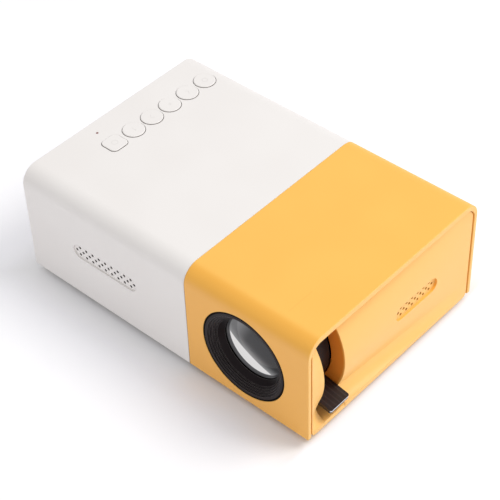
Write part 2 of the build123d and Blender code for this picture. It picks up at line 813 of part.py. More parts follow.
with BuildPart() as engine_housing:
    extrude(engine_outline(0), amount=engine_top - engine_low)
    extrude(engine_outline(engine_wall), amount=engine_top - engine_low, mode=Mode.SUBTRACT)
    with BuildSketch(along(lamp_x - engine_wall)):
        with Locations((engine_mid_y, inner_mid_z)):
            RectangleRounded(22, 18, 2)
    extrude(amount=engine_wall, mode=Mode.SUBTRACT)
    with BuildSketch(across(engine_front)):
        with Locations((lens_x, lens_z)):
            Circle(cell_r - 0.6)
    extrude(amount=-engine_wall, mode=Mode.SUBTRACT)
    for place in panel_slots.values():
        for gap_x in (lamp_x + place - rib_t - fit, lamp_x + place + plate_t + fit):
            for wall_y in (engine_front + engine_wall, engine_back - engine_wall - rib_d):
                rib_low = engine_low + engine_wall
                add(block(gap_x, gap_x + rib_t, wall_y, wall_y + rib_d, rib_low, engine_top))
    add(
        block(
            ribbon_x - 0.3, ribbon_x + ribbon_w + 0.3, engine_front, engine_front + engine_wall,
            ribbon_z - 0.3, ribbon_z + ribbon_t + 0.3,
        ),
        mode=Mode.SUBTRACT,
    )
    with BuildSketch(level(engine_low)):
        for x, y, turn in engine_ears:
            with Locations(Location((x, y), turn)):
                Circle(ear_r)
                Rectangle(2 * ear_r, ear_gap + 0.5, align=(Align.CENTER, Align.MIN))
    extrude(amount=2.0)
    with BuildSketch(level(engine_low)):
        with Locations(*ear_places):
            Circle(screw_r)
    extrude(amount=2.0, mode=Mode.SUBTRACT)
save(engine_housing, "engine_housing")

with BuildPart() as engine_lid:
    with BuildSketch(level(engine_top)):
        add(engine_outline(0).moved(Location((0, 0, engine_top - engine_low))))
    extrude(amount=lid_t)
    fillet(engine_lid.edges().filter_by(Axis.Z), 0.6)
save(engine_lid, "engine_lid")

with BuildPart() as engine_screws:
    for x, y in ear_places:
        add(screw(x, y, engine_low + 2.0 + screw_head_h, 4.3, head_r=2.0, up=-1))
save(engine_screws, "engine_screws")

# ---- folding mirror: sheet glass at 45 degrees, glued on two wedge-shaped rests ----
mirror_plane = Plane(
    origin=(lens_x, engine_mid_y, inner_mid_z), x_dir=(1, -1, 0), z_dir=(1, 1, 0)
)
mirror_l = 39.0
with BuildPart() as fold_mirror:
    with BuildSketch(mirror_plane):
        Rectangle(mirror_l, inner_h - 1.0)
    extrude(amount=mirror_t)
save(fold_mirror, "fold_mirror")

with BuildPart() as mirror_pad:
    with BuildSketch(mirror_plane.offset(mirror_t)):
        Rectangle(mirror_l - 2, inner_h - 1.0)
        Rectangle(mirror_l - 8, inner_h - 7.0, mode=Mode.SUBTRACT)
    extrude(amount=mirror_pad_t)
save(mirror_pad, "mirror_pad")

# ---- flat plates in the tunnel: two fresnel lenses and the picture panel between them ----
fresnel_rings = 8
fresnel_step = 1.9
fresnel_depth = 0.35


def fresnel(name, facing):
    """Square plate with concentric sawtooth rings on the side towards the lamp or the lens."""
    plate_x = lamp_x + panel_slots[name]
    face_x = plate_x if facing < 0 else plate_x + plate_t
    ring_plane = Plane(origin=(face_x, engine_mid_y, inner_mid_z), x_dir=(0, 1, 0), z_dir=(0, 0, 1))
    with BuildPart() as plate:
        with BuildSketch(along(plate_x)):
            with Locations((engine_mid_y, inner_mid_z)):
                Rectangle(inner_w - 2 * fit, inner_h - 2 * fit)
        extrude(amount=plate_t)
        with BuildSketch(ring_plane):
            for ring in range(fresnel_rings):
                start = ring * fresnel_step
                with BuildLine():
                    Polyline(
                        (start, 0), (start + fresnel_step, 0),
                        (start + fresnel_step, facing * fresnel_depth), close=True,
                    )
                make_face()
        revolve(axis=Axis((0, engine_mid_y, inner_mid_z), (1, 0, 0)), mode=Mode.SUBTRACT)
    save(plate, name)


fresnel("rear_fresnel", -1)
fresnel("front_fresnel", 1)

bond_t = 0.35
with BuildPart() as lcd_panel:
    with BuildSketch(along(lcd_x)):
        with Locations((engine_mid_y, inner_mid_z)):
            Rectangle(inner_w - 2 * fit, inner_h - 2 * fit)
    extrude(amount=plate_t)
    with BuildSketch(along(lcd_x + plate_t)):
        with Locations((engine_mid_y, inner_mid_z)):
            Rectangle(inner_w - 2 * rib_d - 3, inner_h - 5)
    extrude(amount=-bond_t, mode=Mode.SUBTRACT)
save(lcd_panel, "lcd_panel")

with BuildPart() as picture_glass:
    with BuildSketch(along(lcd_x + plate_t - bond_t)):
        with Locations((engine_mid_y, inner_mid_z)):
            Rectangle(inner_w - 2 * rib_d - 3, inner_h - 5)
    extrude(amount=bond_t + 0.3)
save(picture_glass, "picture_glass")

wall_y = engine_front
with BuildPart() as lcd_ribbon:
    add(block(ribbon_x, ribbon_x + ribbon_w, wall_y - 1, wall_y + 1.3, ribbon_z, ribbon_z + ribbon_t))
    drop_y = wall_y - 1
    ribbon_low = pcb_top + 0.5
    add(block(ribbon_x, ribbon_x + ribbon_w, drop_y, drop_y + ribbon_t, ribbon_low, ribbon_z))
    add(block(
        ribbon_x, ribbon_x + ribbon_w, wall_y - 4.4, wall_y - 1 + ribbon_t,
        pcb_top + 0.5, pcb_top + 0.5 + ribbon_t,
    ))
save(lcd_ribbon, "lcd_ribbon")

# ---- lamp: bright LED on a metal-backed board, condenser lens in front, heat sink behind ----
led_plate_t = 1.6
led_plate_w = 26.0
led_plate_h = 24.0
sink_x = lamp_x - engine_wall - led_plate_t
sink_base = 3.0
fin_count = 8
fin_t = 0.9
fin_depth = 7.6
sink_w = inner_w - 2
sink_low = pcb_top + screw_head_h + 0.5
sink_h = key_board_low - 0.8 - sink_low
sink_mid_z = sink_low + sink_h / 2
led_axis = Axis((0, engine_mid_y, inner_mid_z), (1, 0, 0))
lamp_plane = Plane(origin=(0, engine_mid_y, inner_mid_z), x_dir=(1, 0, 0), z_dir=(0, 0, 1))
with BuildPart() as led_board:
    with BuildSketch(along(sink_x)):
        with Locations((engine_mid_y, inner_mid_z)):
            RectangleRounded(led_plate_w, led_plate_h, 2)
            with GridLocations(led_plate_w - 6, led_plate_h - 6, 2, 2):
                Circle(1.2, mode=Mode.SUBTRACT)
    extrude(amount=led_plate_t)
save(led_board, "led_board")

with BuildPart() as led_emitter:
    with BuildSketch(along(sink_x + led_plate_t)):
        with Locations((engine_mid_y, inner_mid_z)):
            RectangleRounded(12, 12, 1)
    extrude(amount=1.0)
    with BuildSketch(lamp_plane):
        with BuildLine():
            Line((sink_x + led_plate_t + 1.0, 0), (sink_x + led_plate_t + 1.0, 4.4))
            TangentArc(
                (sink_x + led_plate_t + 3.6, 0), (sink_x + led_plate_t + 1.0, 4.4), tangent=(0, 1)
            )
            Line((sink_x + led_plate_t + 3.6, 0), (sink_x + led_plate_t + 1.0, 0))
        make_face()
    revolve(axis=led_axis)
save(led_emitter, "led_emitter")

condenser_x = lamp_x + 6.0
condenser_r = 13.0
with BuildPart() as condenser_lens:
    with BuildSketch(lamp_plane):
        with BuildLine():
            Line((condenser_x, 0), (condenser_x, condenser_r))
            Line((condenser_x, condenser_r), (condenser_x + 2.0, condenser_r))
            TangentArc((condenser_x + 7.6, 0), (condenser_x + 2.0, condenser_r), tangent=(0, 1))
            Line((condenser_x + 7.6, 0), (condenser_x, 0))
        make_face()
    revolve(axis=led_axis)
save(condenser_lens, "condenser_lens")

with BuildPart() as condenser_holder:
    with BuildSketch(along(condenser_x)):
        with Locations((engine_mid_y, inner_mid_z)):
            Rectangle(inner_w - 2 * fit, inner_h - 2 * fit)
            Circle(condenser_r, mode=Mode.SUBTRACT)
    extrude(amount=2.0)
    with BuildSketch(along(condenser_x - 1.0)):
        with Locations((engine_mid_y, inner_mid_z)):
            Rectangle(inner_w - 2 * fit, inner_h - 2 * fit)
            Circle(condenser_r - 1, mode=Mode.SUBTRACT)
    extrude(amount=1.0)
save(condenser_holder, "condenser_holder")

with BuildPart() as heat_sink:
    with BuildSketch(along(sink_x)):
        with Locations((engine_mid_y, sink_mid_z)):
            Rectangle(sink_w, sink_h)
    extrude(amount=-sink_base)
    with BuildSketch(along(sink_x - sink_base)):
        with Locations((engine_mid_y, sink_mid_z)):
            with GridLocations(1, (sink_h - fin_t) / (fin_count - 1), 1, fin_count):
                Rectangle(sink_w, fin_t)
    extrude(amount=-fin_depth)
save(heat_sink, "heat_sink")

# ---- fan: square frame behind the exhaust grille with a seven-blade rotor ----
fan_bore = fan_size / 2 - 1.2
hub_r = 8.5
blade_count = 7
blade_t = 0.9
blade_pitch = 38
with BuildPart() as fan_frame:
    with BuildSketch(across(fan_y + fan_t)):
        with Locations((fan_x, fan_z)):
            RectangleRounded(fan_size, fan_size, 2.5)
            Circle(fan_bore, mode=Mode.SUBTRACT)
            with GridLocations(fan_size - 5, fan_size - 5, 2, 2):
                Circle(1.5, mode=Mode.SUBTRACT)
    extrude(amount=fan_t)
    with BuildSketch(across(fan_y + 1.2)):
        with Locations((fan_x, fan_z)):
            Circle(hub_r)
            with PolarLocations(0, 3, 90):
                with Locations((fan_bore / 2, 0)):
                    Rectangle(fan_bore + 1, 2.2)
    extrude(amount=1.2)
    with BuildSketch(across(fan_y + 1.2)):
        with Locations((fan_x, fan_z)):
            Circle(2.2)
            Circle(1.0 + run, mode=Mode.SUBTRACT)
    extrude(amount=-5)
save(fan_frame, "fan_frame")

hub_y = fan_y + 1.2 + 0.5
hub_end = fan_y + fan_t - 0.6
with BuildPart() as fan_rotor:
    with BuildSketch(across(hub_end)):
        with Locations((fan_x, fan_z)):
            Circle(hub_r)
    extrude(amount=hub_end - hub_y)
    with BuildSketch(across(hub_end - 1.2)):
        with Locations((fan_x, fan_z)):
            Circle(hub_r - 1.0)
    extrude(amount=hub_end - hub_y, mode=Mode.SUBTRACT)
    with BuildSketch(across(hub_end - 1.0)):
        with Locations((fan_x, fan_z)):
            Circle(1.0)
    extrude(amount=hub_end - hub_y - 1.2)
    blade_mid = (hub_y + hub_end) / 2
    for number in range(blade_count):
        turn = 360 / blade_count * number
        out = Vector(cos(radians(turn)), 0, sin(radians(turn)))
        side = Vector(-sin(radians(turn)), 0, cos(radians(turn)))
        chord = side * cos(radians(blade_pitch)) + Vector(0, 1, 0) * sin(radians(blade_pitch))
        root = Vector(fan_x, blade_mid, fan_z) + out * (hub_r - 0.4)
        with BuildSketch(Plane(origin=root, x_dir=chord, z_dir=out)):
            Rectangle(8.6, blade_t)
        extrude(amount=fan_bore - hub_r - 0.4)
save(fan_rotor, "fan_rotor")

# ---- speaker behind the front grille ----
speaker_gasket_t = 0.8
speaker_l = 33.0
speaker_h = 16.0
speaker_y = -wall_in
basket_t = 1.2
basket_d = 5.0
with BuildPart() as speaker_gasket:
    outline = pill(across(speaker_y), speaker_x, speaker_z, speaker_l, speaker_h)
    extrude(outline, amount=-speaker_gasket_t)
    extrude(
        pill(across(speaker_y), speaker_x, speaker_z, speaker_l - 3, speaker_h - 3),
        amount=-speaker_gasket_t, mode=Mode.SUBTRACT,
    )
save(speaker_gasket, "speaker_gasket")

basket_y = speaker_y + speaker_gasket_t
with BuildPart() as speaker_basket:
    extrude(pill(across(basket_y), speaker_x, speaker_z, speaker_l, speaker_h), amount=-basket_d)
    extrude(
        pill(across(basket_y), speaker_x, speaker_z, speaker_l - 3, speaker_h - 3),
        amount=-(basket_d - basket_t), mode=Mode.SUBTRACT,
    )
    with BuildSketch(across(basket_y + basket_d)):
        with Locations((speaker_x, speaker_z)):
            with GridLocations(20, 1, 2, 1):
                SlotOverall(7, 4, rotation=90)
    extrude(amount=basket_t, mode=Mode.SUBTRACT)
save(speaker_basket, "speaker_basket")

cone_t = 0.5
cone_deep = 2.2
with BuildPart() as speaker_cone:
    extrude(
        pill(across(basket_y + cone_t), speaker_x, speaker_z, speaker_l - 3, speaker_h - 3),
        amount=cone_t,
    )
    with BuildSketch(across(basket_y)):
        with Locations((speaker_x, speaker_z)):
            SlotOverall(20, 10)
    extrude(amount=-cone_deep - cone_t, taper=25)
    with BuildSketch(across(basket_y)):
        with Locations((speaker_x, speaker_z)):
            SlotOverall(20 - 2 * cone_t, 10 - 2 * cone_t)
    extrude(amount=-cone_deep, taper=25, mode=Mode.SUBTRACT)
save(speaker_cone, "speaker_cone")

with BuildPart() as speaker_magnet:
    with BuildSketch(across(basket_y + basket_d + 2.6)):
        with Locations((speaker_x, speaker_z)):
            Circle(6.0)
    extrude(amount=2.6)
save(speaker_magnet, "speaker_magnet")

# ---- keys: caps held under the roof by a lip, each with a stem in its switch ----
for number, y in enumerate(key_y + [power_y], 1):
    square = number == key_count + 1
    with BuildPart() as cap:
        with BuildSketch(level(roof_z - 0.2 - 0.9)):
            with Locations((key_x, y)):
                if square:
                    lip_w = power_w + 2 * key_lip + 0.2
                    RectangleRounded(lip_w, lip_w, power_r + key_lip)
                else:
                    Circle(key_r + key_lip)
        extrude(amount=0.9)
        with BuildSketch(level(roof_z - 0.2)):
            with Locations((key_x, y)):
                if square:
                    RectangleRounded(power_w, power_w, power_r)
                else:
                    Circle(key_r)
        extrude(amount=top_wall + 0.2 + key_proud)
        fillet(cap.edges().group_by(Axis.Z)[-1], 0.35)
        with BuildSketch(level(stem_low)):
            with Locations((key_x, y)):
                Circle(stem_r)
        extrude(amount=roof_z - 1.1 - stem_low)
    save(cap, "power_key" if square else f"round_key_{number}")

board_screw_spots = [(key_x + 3.4, (key_y[0] + key_y[1]) / 2), (key_x + 3.4, (key_y[3] + key_y[4]) / 2)]
key_board_x1 = key_x - 4.2
key_board_x2 = key_x + 5.4
with BuildPart() as key_board:
    add(block(key_board_x1, key_board_x2, power_y - 4.5, key_y[0] + 3.2, key_board_low, key_board_z))
    add(block(
        end_w + light_inset - 2, key_board_x1, power_y - 3.5, power_y + 3.5, key_board_low, key_board_z
    ))
    with BuildSketch(level(key_board_low)):
        with Locations(*board_screw_spots):
            Circle(0.7)
    extrude(amount=board_t, mode=Mode.SUBTRACT)
save(key_board, "key_board")

with BuildPart() as key_switches:
    with BuildSketch(level(key_board_z)):
        for y in key_y + [power_y]:
            with Locations((key_x, y)):
                Rectangle(switch_w, switch_w)
                Circle(stem_r + 0.15, mode=Mode.SUBTRACT)
    extrude(amount=switch_h)
save(key_switches, "key_switches")

with BuildPart() as light_pipe:
    with BuildSketch(level(key_board_z + 0.6)):
        with Locations((end_w + light_inset, power_y)):
            Circle(light_r)
    extrude(amount=top_z - key_board_z - 0.6)
    with BuildSketch(level(key_board_z)):
        with Locations((end_w + light_inset, power_y)):
            Rectangle(1.6, 1.0)
    extrude(amount=0.6)
save(light_pipe, "light_pipe")

# ---- main board with the sockets along its outer edge ----
board_margin = 1.2
board_x1 = socket_wall_x + 0.2
board_x3 = tripod_x - insert_r - 2.4
with BuildPart() as main_board:
    add(block(board_x1, board_x3, -base_half + board_margin, engine_front - 1.6, pcb_z, pcb_top))
    add(block(board_x1, board_x2, engine_front - 1.6, 27.0, pcb_z, pcb_top))
    with BuildSketch(level(pcb_z)):
        with Locations(*board_posts):
            Circle(1.3)
    extrude(amount=pcb_t, mode=Mode.SUBTRACT)
    with BuildSketch(level(pcb_z)):
        for x, y in white_posts:
            with Locations((x, y)):
                Circle(post_r + 0.5)
    extrude(amount=pcb_t, mode=Mode.SUBTRACT)
save(main_board, "main_board")

with BuildPart() as board_screws:
    for x, y in board_posts:
        add(screw(x, y, pcb_top + screw_head_h, 4.4, head_r=2.0, up=-1))
save(board_screws, "board_screws")

chip_x = board_x2 + 12
with BuildPart() as board_chips:
    for x, y, long_x, long_y, tall in (
        (chip_x, front_y + 16.5, 12, 12, 1.2),
        (chip_x + 14, front_y + 18, 8, 5, 1.0),
        (board_x2 + 1.5, front_y + 21, 5, 4, 1.0),
        (ribbon_x + ribbon_w / 2, wall_y - 6.1, ribbon_w + 0.4, 3.4, 1.8),
    ):
        half_x = long_x / 2
        half_y = long_y / 2
        add(block(x - half_x, x + half_x, y - half_y, y + half_y, pcb_top, pcb_top + tall))
save(board_chips, "board_chips")

port_x = panel_w
port_back = {"power": 12.0, "video": 11.0, "data": 13.0, "sound": 12.0, "card": 13.0}
port_wall = 0.6
for name, (mid_y, wide, low, tall) in sockets.items():
    depth = port_back[name]
    y1, y2 = mid_y - wide / 2, mid_y + wide / 2
    with BuildPart() as port:
        with BuildSketch(along(port_x + 0.1)):
            with Locations((mid_y, low + tall / 2)):
                RectangleRounded(wide, tall, 0.7)
        extrude(amount=depth)
        with BuildSketch(along(port_x + 0.1)):
            with Locations((mid_y, low + tall / 2)):
                if name == "power":
                    Circle(3.1)
                elif name == "sound":
                    Circle(1.8)
                elif name == "card":
                    Rectangle(wide - 1.4, 1.0)
                elif name == "video":
                    Trapezoid(wide - 2 * port_wall, tall - 2 * port_wall, 65, rotation=180)
                else:
                    Rectangle(wide - 2 * port_wall, tall - 2 * port_wall)
        extrude(amount=depth - 2.0, mode=Mode.SUBTRACT)
        if name == "power":
            with BuildSketch(along(port_x + 2.0)):
                with Locations((mid_y, low + tall / 2)):
                    Circle(1.0)
            extrude(amount=depth - 2.0)
        if name in ("data", "video"):
            tongue_z = low + tall / 2 - 0.4 + (0.9 if name == "data" else 0)
            add(block(port_x + 1.6, port_x + depth, y1 + 2.2, y2 - 2.2, tongue_z, tongue_z + 0.9))
    save(port, f"{name}_socket")

with BuildPart() as remote_window:
    with BuildSketch(along(panel_w)):
        with Locations((window_y, window_z)):
            RectangleRounded(9, 6, 1.4)
    extrude(amount=panel_t)
    with BuildSketch(along(panel_w + panel_t)):
        with Locations((window_y, window_z)):
            RectangleRounded(11, 8, 2)
    extrude(amount=0.8)
save(remote_window, "remote_window")
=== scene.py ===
import math

import bpy
from mathutils import Matrix, Vector

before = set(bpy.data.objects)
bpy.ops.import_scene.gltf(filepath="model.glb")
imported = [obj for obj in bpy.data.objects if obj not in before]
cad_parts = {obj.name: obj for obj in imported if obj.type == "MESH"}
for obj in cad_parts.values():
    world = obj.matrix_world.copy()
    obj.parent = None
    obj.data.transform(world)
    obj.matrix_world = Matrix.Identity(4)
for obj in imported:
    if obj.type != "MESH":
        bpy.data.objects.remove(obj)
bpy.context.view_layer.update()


# ---- Yellow cover and yellow base ----
# Two ABS mouldings: a U-shaped cover for the top and sides, and a base that turns up into the
# end panel with the finger slot. The tool leaves a fine spark-eroded grain and soft edges.
egg_yellow = (0.975, 0.53, 0.100)
egg_yellow_deep = (0.965, 0.515, 0.094)
egg_yellow_edge_highlight = (0.985, 0.59, 0.16)
rolled_edge_shade_gold = (0.94, 0.45, 0.055)
end_sheen_yellow = (0.970, 0.560, 0.178)
front_face_shade_amber = (0.93, 0.465, 0.090)
seam_shade_brown = (0.30, 0.12, 0.025)
slot_shade_amber = (0.78, 0.26, 0.026)
vent_shade_brown = (0.58, 0.24, 0.028)
abs_grain = 0.00032
abs_drift = 0.024
hair = 0.0002            # soft edge of a change of colour
wall_shade_depth = 0.00006     # half the depth over which a hole's wall takes its painted shade
seam_x = 0.01092
seam_top = (0.036, 0.045)
lens_x = 0.0352
lens_z = 0.0234
slot_y = -0.02985
slot_half_w = 0.0056
slot_start = 0.012
slot_reach = 0.0261
slot_rounding = 0.0007
rolled_way = (0, -0.64, 0.77)
vent_y = 0.0121
vent_floor_x = 0.06062
vent_back_x = 0.0570
vent_half_l = 0.0108
vent_half_h = 0.0028
end_face_x = 0.050
ledge_top = 0.011


class Signal:
    """One number on its way through a finish. Arithmetic on it adds Math nodes."""

    def __init__(self, finish, socket):
        self.finish = finish
        self.socket = socket

    def with_other(self, operation, first, second):
        return self.finish.number("ShaderNodeMath", {"operation": operation}, {0: first, 1: second})

    def __add__(self, other):
        return self.with_other("ADD", self, other)

    __radd__ = __add__

    def __sub__(self, other):
        return self.with_other("SUBTRACT", self, other)

    def __rsub__(self, other):
        return self.with_other("SUBTRACT", other, self)

    def __mul__(self, other):
        return self.with_other("MULTIPLY", self, other)

    __rmul__ = __mul__

    def __truediv__(self, other):
        return self.with_other("DIVIDE", self, other)

    def __pow__(self, other):
        return self.with_other("POWER", self, other)

    def __mod__(self, other):
        return self.with_other("FLOORED_MODULO", self, other)

    def __abs__(self):
        return self.with_other("ABSOLUTE", self, 0.0)

    def most(self, other):
        return self.with_other("MAXIMUM", self, other)

    def rise(self, low, high):
        """0 below low, 1 above high, a smooth step between."""
        return self.finish.number(
            "ShaderNodeMapRange",
            {"interpolation_type": "SMOOTHSTEP"},
            {"Value": self, "From Min": low, "From Max": high},
        )

    def near(self, middle, half, soft):
        """1 within half of middle, fading to 0 over soft."""
        return 1 - abs(self - middle).rise(half, half + soft)


class NodeTree:
    """The nodes of one material or of the room."""

    def __init__(self, tree):
        self.tree = tree

    def node(self, kind, settings={}, sockets={}):
        made = self.tree.nodes.new(kind)
        for key, value in settings.items():
            setattr(made, key, value)
        for key, value in sockets.items():
            self.feed(made.inputs[key], value)
        return made

    def feed(self, socket, value):
        source = value.socket if isinstance(value, Signal) else value
        if isinstance(source, bpy.types.NodeSocket):
            self.tree.links.new(source, socket)
        else:
            socket.default_value = source

    def number(self, kind, settings, sockets, out=0):
        return Signal(self, self.node(kind, settings, sockets).outputs[out])

    def parts_of(self, vector):
        """X, Y and Z of a vector as three signals."""
        apart = self.node("ShaderNodeSeparateXYZ", {}, {0: vector})
        return [Signal(self, out) for out in apart.outputs]


class Finish(NodeTree):
    """A moulded, metal or glass finish: one shader and the nodes in front of it."""

    def __init__(self, name, constants):
        self.material = bpy.data.materials.new(name)
        self.material.use_nodes = True
        super().__init__(self.material.node_tree)
        self.shader = self.tree.nodes["Principled BSDF"]
        for socket, value in constants.items():
            self.shader.inputs[socket].default_value = value
        self.spot = self.node("ShaderNodeTexCoord").outputs["Object"]
        self.x, self.y, self.z = self.parts_of(self.spot)

    def noise(self, size, detail=2, stretch=(1, 1, 1)):
        """Smooth random field with features of that size in metres."""
        spot = self.node(
            "ShaderNodeVectorMath", {"operation": "MULTIPLY"}, {0: self.spot, 1: stretch}
        ).outputs[0]
        return self.number(
            "ShaderNodeTexNoise", {}, {"Vector": spot, "Scale": 1 / size, "Detail": detail}
        )

    def blend(self, share, first, second):
        """Colour that goes from first to second as share goes from 0 to 1."""
        colours = [c if not isinstance(c, tuple) else (*c, 1) for c in (first, second)]
        return self.node(
            "ShaderNodeMix",
            {"data_type": "RGBA"},
            {0: share, 6: colours[0], 7: colours[1]},
        ).outputs[2]

    def round_normal(self, radius):
        """Normal of the surface as if its edges were rounded to that radius."""
        return self.node("ShaderNodeBevel", {"samples": 4}, {"Radius": radius}).outputs[0]

    def facing(self, way):
        """Cosine between the surface and a direction."""
        normal = self.node("ShaderNodeNewGeometry").outputs["Normal"]
        return self.number(
            "ShaderNodeVectorMath", {"operation": "DOT_PRODUCT"}, {0: normal, 1: way}, "Value"
        )

    def edges(self, radius):
        """1 on sharp edges, 0 on open faces."""
        return (1 - self.facing(self.round_normal(radius))).rise(0.02, 0.25)

    def relief(self, height, depth, radius):
        """Bump of that depth in metres over edges rounded to that radius."""
        bump = self.node(
            "ShaderNodeBump",
            {},
            {
                "Height": height,
                "Distance": depth,
                "Strength": 1.0,
                "Normal": self.round_normal(radius),
            },
        )
        self.feed(self.shader.inputs["Normal"], bump.outputs[0])

    def colour_with(self, colour):
        self.feed(self.shader.inputs["Base Color"], colour)

    def paint(self, colour, rough):
        self.colour_with(colour)
        self.feed(self.shader.inputs["Roughness"], rough)

    def dress(self, *names):
        """Puts this finish on CAD nodes by name."""
        for name in names:
            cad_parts[name].material_slots[0].material = self.material


def distance(first, second):
    """Length of the diagonal over two offsets."""
    return (first * first + second * second) ** 0.5


def moulded(name, colour, deep, edge_highlight, rough, grain, depth, radius, specular=0.5):
    """Injection-moulded plastic: slow drift of colour, tool grain, softened edges with a painted
    highlight.
    """
    finish = Finish(name, {"IOR": 1.5, "Specular IOR Level": specular})
    drift = finish.noise(abs_drift, 1).rise(0.3, 0.7)
    speck = finish.noise(grain, 3)
    edge = finish.edges(radius)
    body = finish.blend(drift, deep, colour)
    # Painted highlight: sharp edges are blended towards a lighter colour.
    finish.body = finish.blend(edge * 0.6, body, edge_highlight)
    finish.paint(finish.body, speck * 0.12 + (rough - 0.06) - edge * 0.05)
    finish.relief(speck, depth, radius)
    return finish


yellow_abs = moulded(
    "yellow_abs", egg_yellow, egg_yellow_deep, egg_yellow_edge_highlight, 0.46, abs_grain, 0.000012, 0.0003
)
from_lens_x = yellow_abs.x - lens_x
from_axis = distance(from_lens_x, yellow_abs.z - lens_z)
# Painted shade: the walls inside the finger slot are painted a darker amber.
slot_shade = 1 - from_axis.rise(slot_reach - slot_rounding, slot_reach)
slot_shade = slot_shade * from_lens_x.rise(slot_start, slot_start + 0.001)
slot_shade = slot_shade * yellow_abs.y.near(slot_y, slot_half_w, hair)
# Painted shade: the rolled edge between top and front face is painted a darker gold.
rolled_edge_shade = yellow_abs.facing(rolled_way).rise(0.80, 0.98)
# Painted sheen: the end face and the ledge below it are painted a paler yellow.
past_frame = yellow_abs.x.rise(end_face_x, end_face_x + 0.002)
end_sheen = yellow_abs.facing((1, 0, 0)).rise(0.3, 0.95) * past_frame
ledge_sheen = yellow_abs.facing((0, 0, 1)).rise(0.2, 0.5) * past_frame
ledge_sheen = ledge_sheen * (1 - yellow_abs.z.rise(ledge_top, ledge_top + 0.002))
# Painted shade: the walls of the vent holes are painted brown.
vent_shade = 1 - yellow_abs.x.rise(vent_floor_x - wall_shade_depth, vent_floor_x + wall_shade_depth)
vent_shade = vent_shade * yellow_abs.x.rise(vent_back_x, vent_back_x + 0.0001)
vent_shade = vent_shade * yellow_abs.y.near(vent_y, vent_half_l, hair)
vent_shade = vent_shade * yellow_abs.z.near(lens_z, vent_half_h, hair)
# Painted shade: a dark line along the seam, fading out towards the top.
seam_shade = 1 - yellow_abs.x.rise(seam_x + 0.00012, seam_x + 0.00022)
seam_shade = seam_shade * (1 - yellow_abs.z.rise(*seam_top))
# Painted shade: faces turned to the front, round the lens, are painted a deeper amber.
front_face_shade = yellow_abs.facing((0, -1, 0)).rise(0.8, 0.98)
skin = yellow_abs.blend(front_face_shade * 0.9, yellow_abs.body, front_face_shade_amber)
skin = yellow_abs.blend(rolled_edge_shade * 0.8, skin, rolled_edge_shade_gold)
skin = yellow_abs.blend(end_sheen.most(ledge_sheen) * 0.8, skin, end_sheen_yellow)
skin = yellow_abs.blend(seam_shade * 0.8, skin, seam_shade_brown)
skin = yellow_abs.blend(slot_shade, skin, slot_shade_amber)
yellow_abs.colour_with(yellow_abs.blend(vent_shade, skin, vent_shade_brown))
yellow_abs.dress("yellow_cover", "yellow_base")


# ---- White cover and white base ----
# The same two mouldings carried on in warm white ABS. The cover slides over a tongue on the
# yellow one, so a hairline seam runs round the body between the colours.
warm_white = (0.862, 0.828, 0.805)
warm_white_deep = (0.848, 0.812, 0.788)
warm_white_edge_highlight = (0.885, 0.855, 0.835)
grille_shade = (0.15, 0.13, 0.12)
gap_shade = (0.17, 0.135, 0.125)
speaker_x = -0.0268
speaker_z = 0.0238
speaker_floor_y = -0.04255
speaker_back_y = -0.0416
speaker_half_l = 0.0150
speaker_half_h = 0.0029
key_row_x = -0.04985
key_row_y = 0.0100
key_row_half_l = 0.0270
key_row_half_w = 0.0043
top_z = 0.0461
white_abs = moulded(
    "white_abs", warm_white, warm_white_deep, warm_white_edge_highlight, 0.46, abs_grain, 0.000012, 0.00025
)
in_grille = white_abs.y.rise(speaker_floor_y - wall_shade_depth, speaker_floor_y + wall_shade_depth)
in_grille = in_grille * (1 - white_abs.y.rise(speaker_back_y, speaker_back_y + 0.0001))
in_grille = in_grille * white_abs.x.near(speaker_x, speaker_half_l, hair)
in_grille = in_grille * white_abs.z.near(speaker_z, speaker_half_h, hair)
in_gap = white_abs.z.rise(0.0438, 0.0439) * (1 - white_abs.z.rise(top_z - 0.00012, top_z - 0.00004))
in_gap = in_gap * white_abs.x.near(key_row_x, key_row_half_w, 0.0001)
in_gap = in_gap * white_abs.y.near(key_row_y, key_row_half_l, hair)
skin = white_abs.blend(in_grille, white_abs.body, grille_shade)
white_abs.colour_with(white_abs.blend(in_gap, skin, gap_shade))
white_abs.dress("white_cover", "white_base")


# ---- Keys on the top ----
# Five round keys and a square power key in the same white, each on a switch under the cover.
# Their marks are shallow and tone in tone: a ring, arrows, a dot and a power ring.
mark_grey = (0.72, 0.695, 0.665)
mark_half_w = 0.00008
mark_soft = 0.00006
round_key_y = (0.03265, 0.02365, 0.01465, 0.00565, -0.00335)
power_key_y = -0.01265
white_cap = moulded(
    "white_key_cap", warm_white, warm_white_deep, warm_white_edge_highlight, 0.42, abs_grain, 0.00001, 0.0003
)


def ring_mark(finish, y, radius):
    """Fine ring about a key's middle."""
    return distance(finish.x - key_row_x, finish.y - y).near(radius, 0.00007, mark_soft)


def arrow_mark(finish, y, way):
    """Arrow head that points along the row."""
    off_x = abs(finish.x - key_row_x)
    off_y = (finish.y - y) * way
    head = (off_y + off_x * 0.8).near(0.0006, mark_half_w, mark_soft)
    return head * (1 - off_x.rise(0.0010, 0.0011))


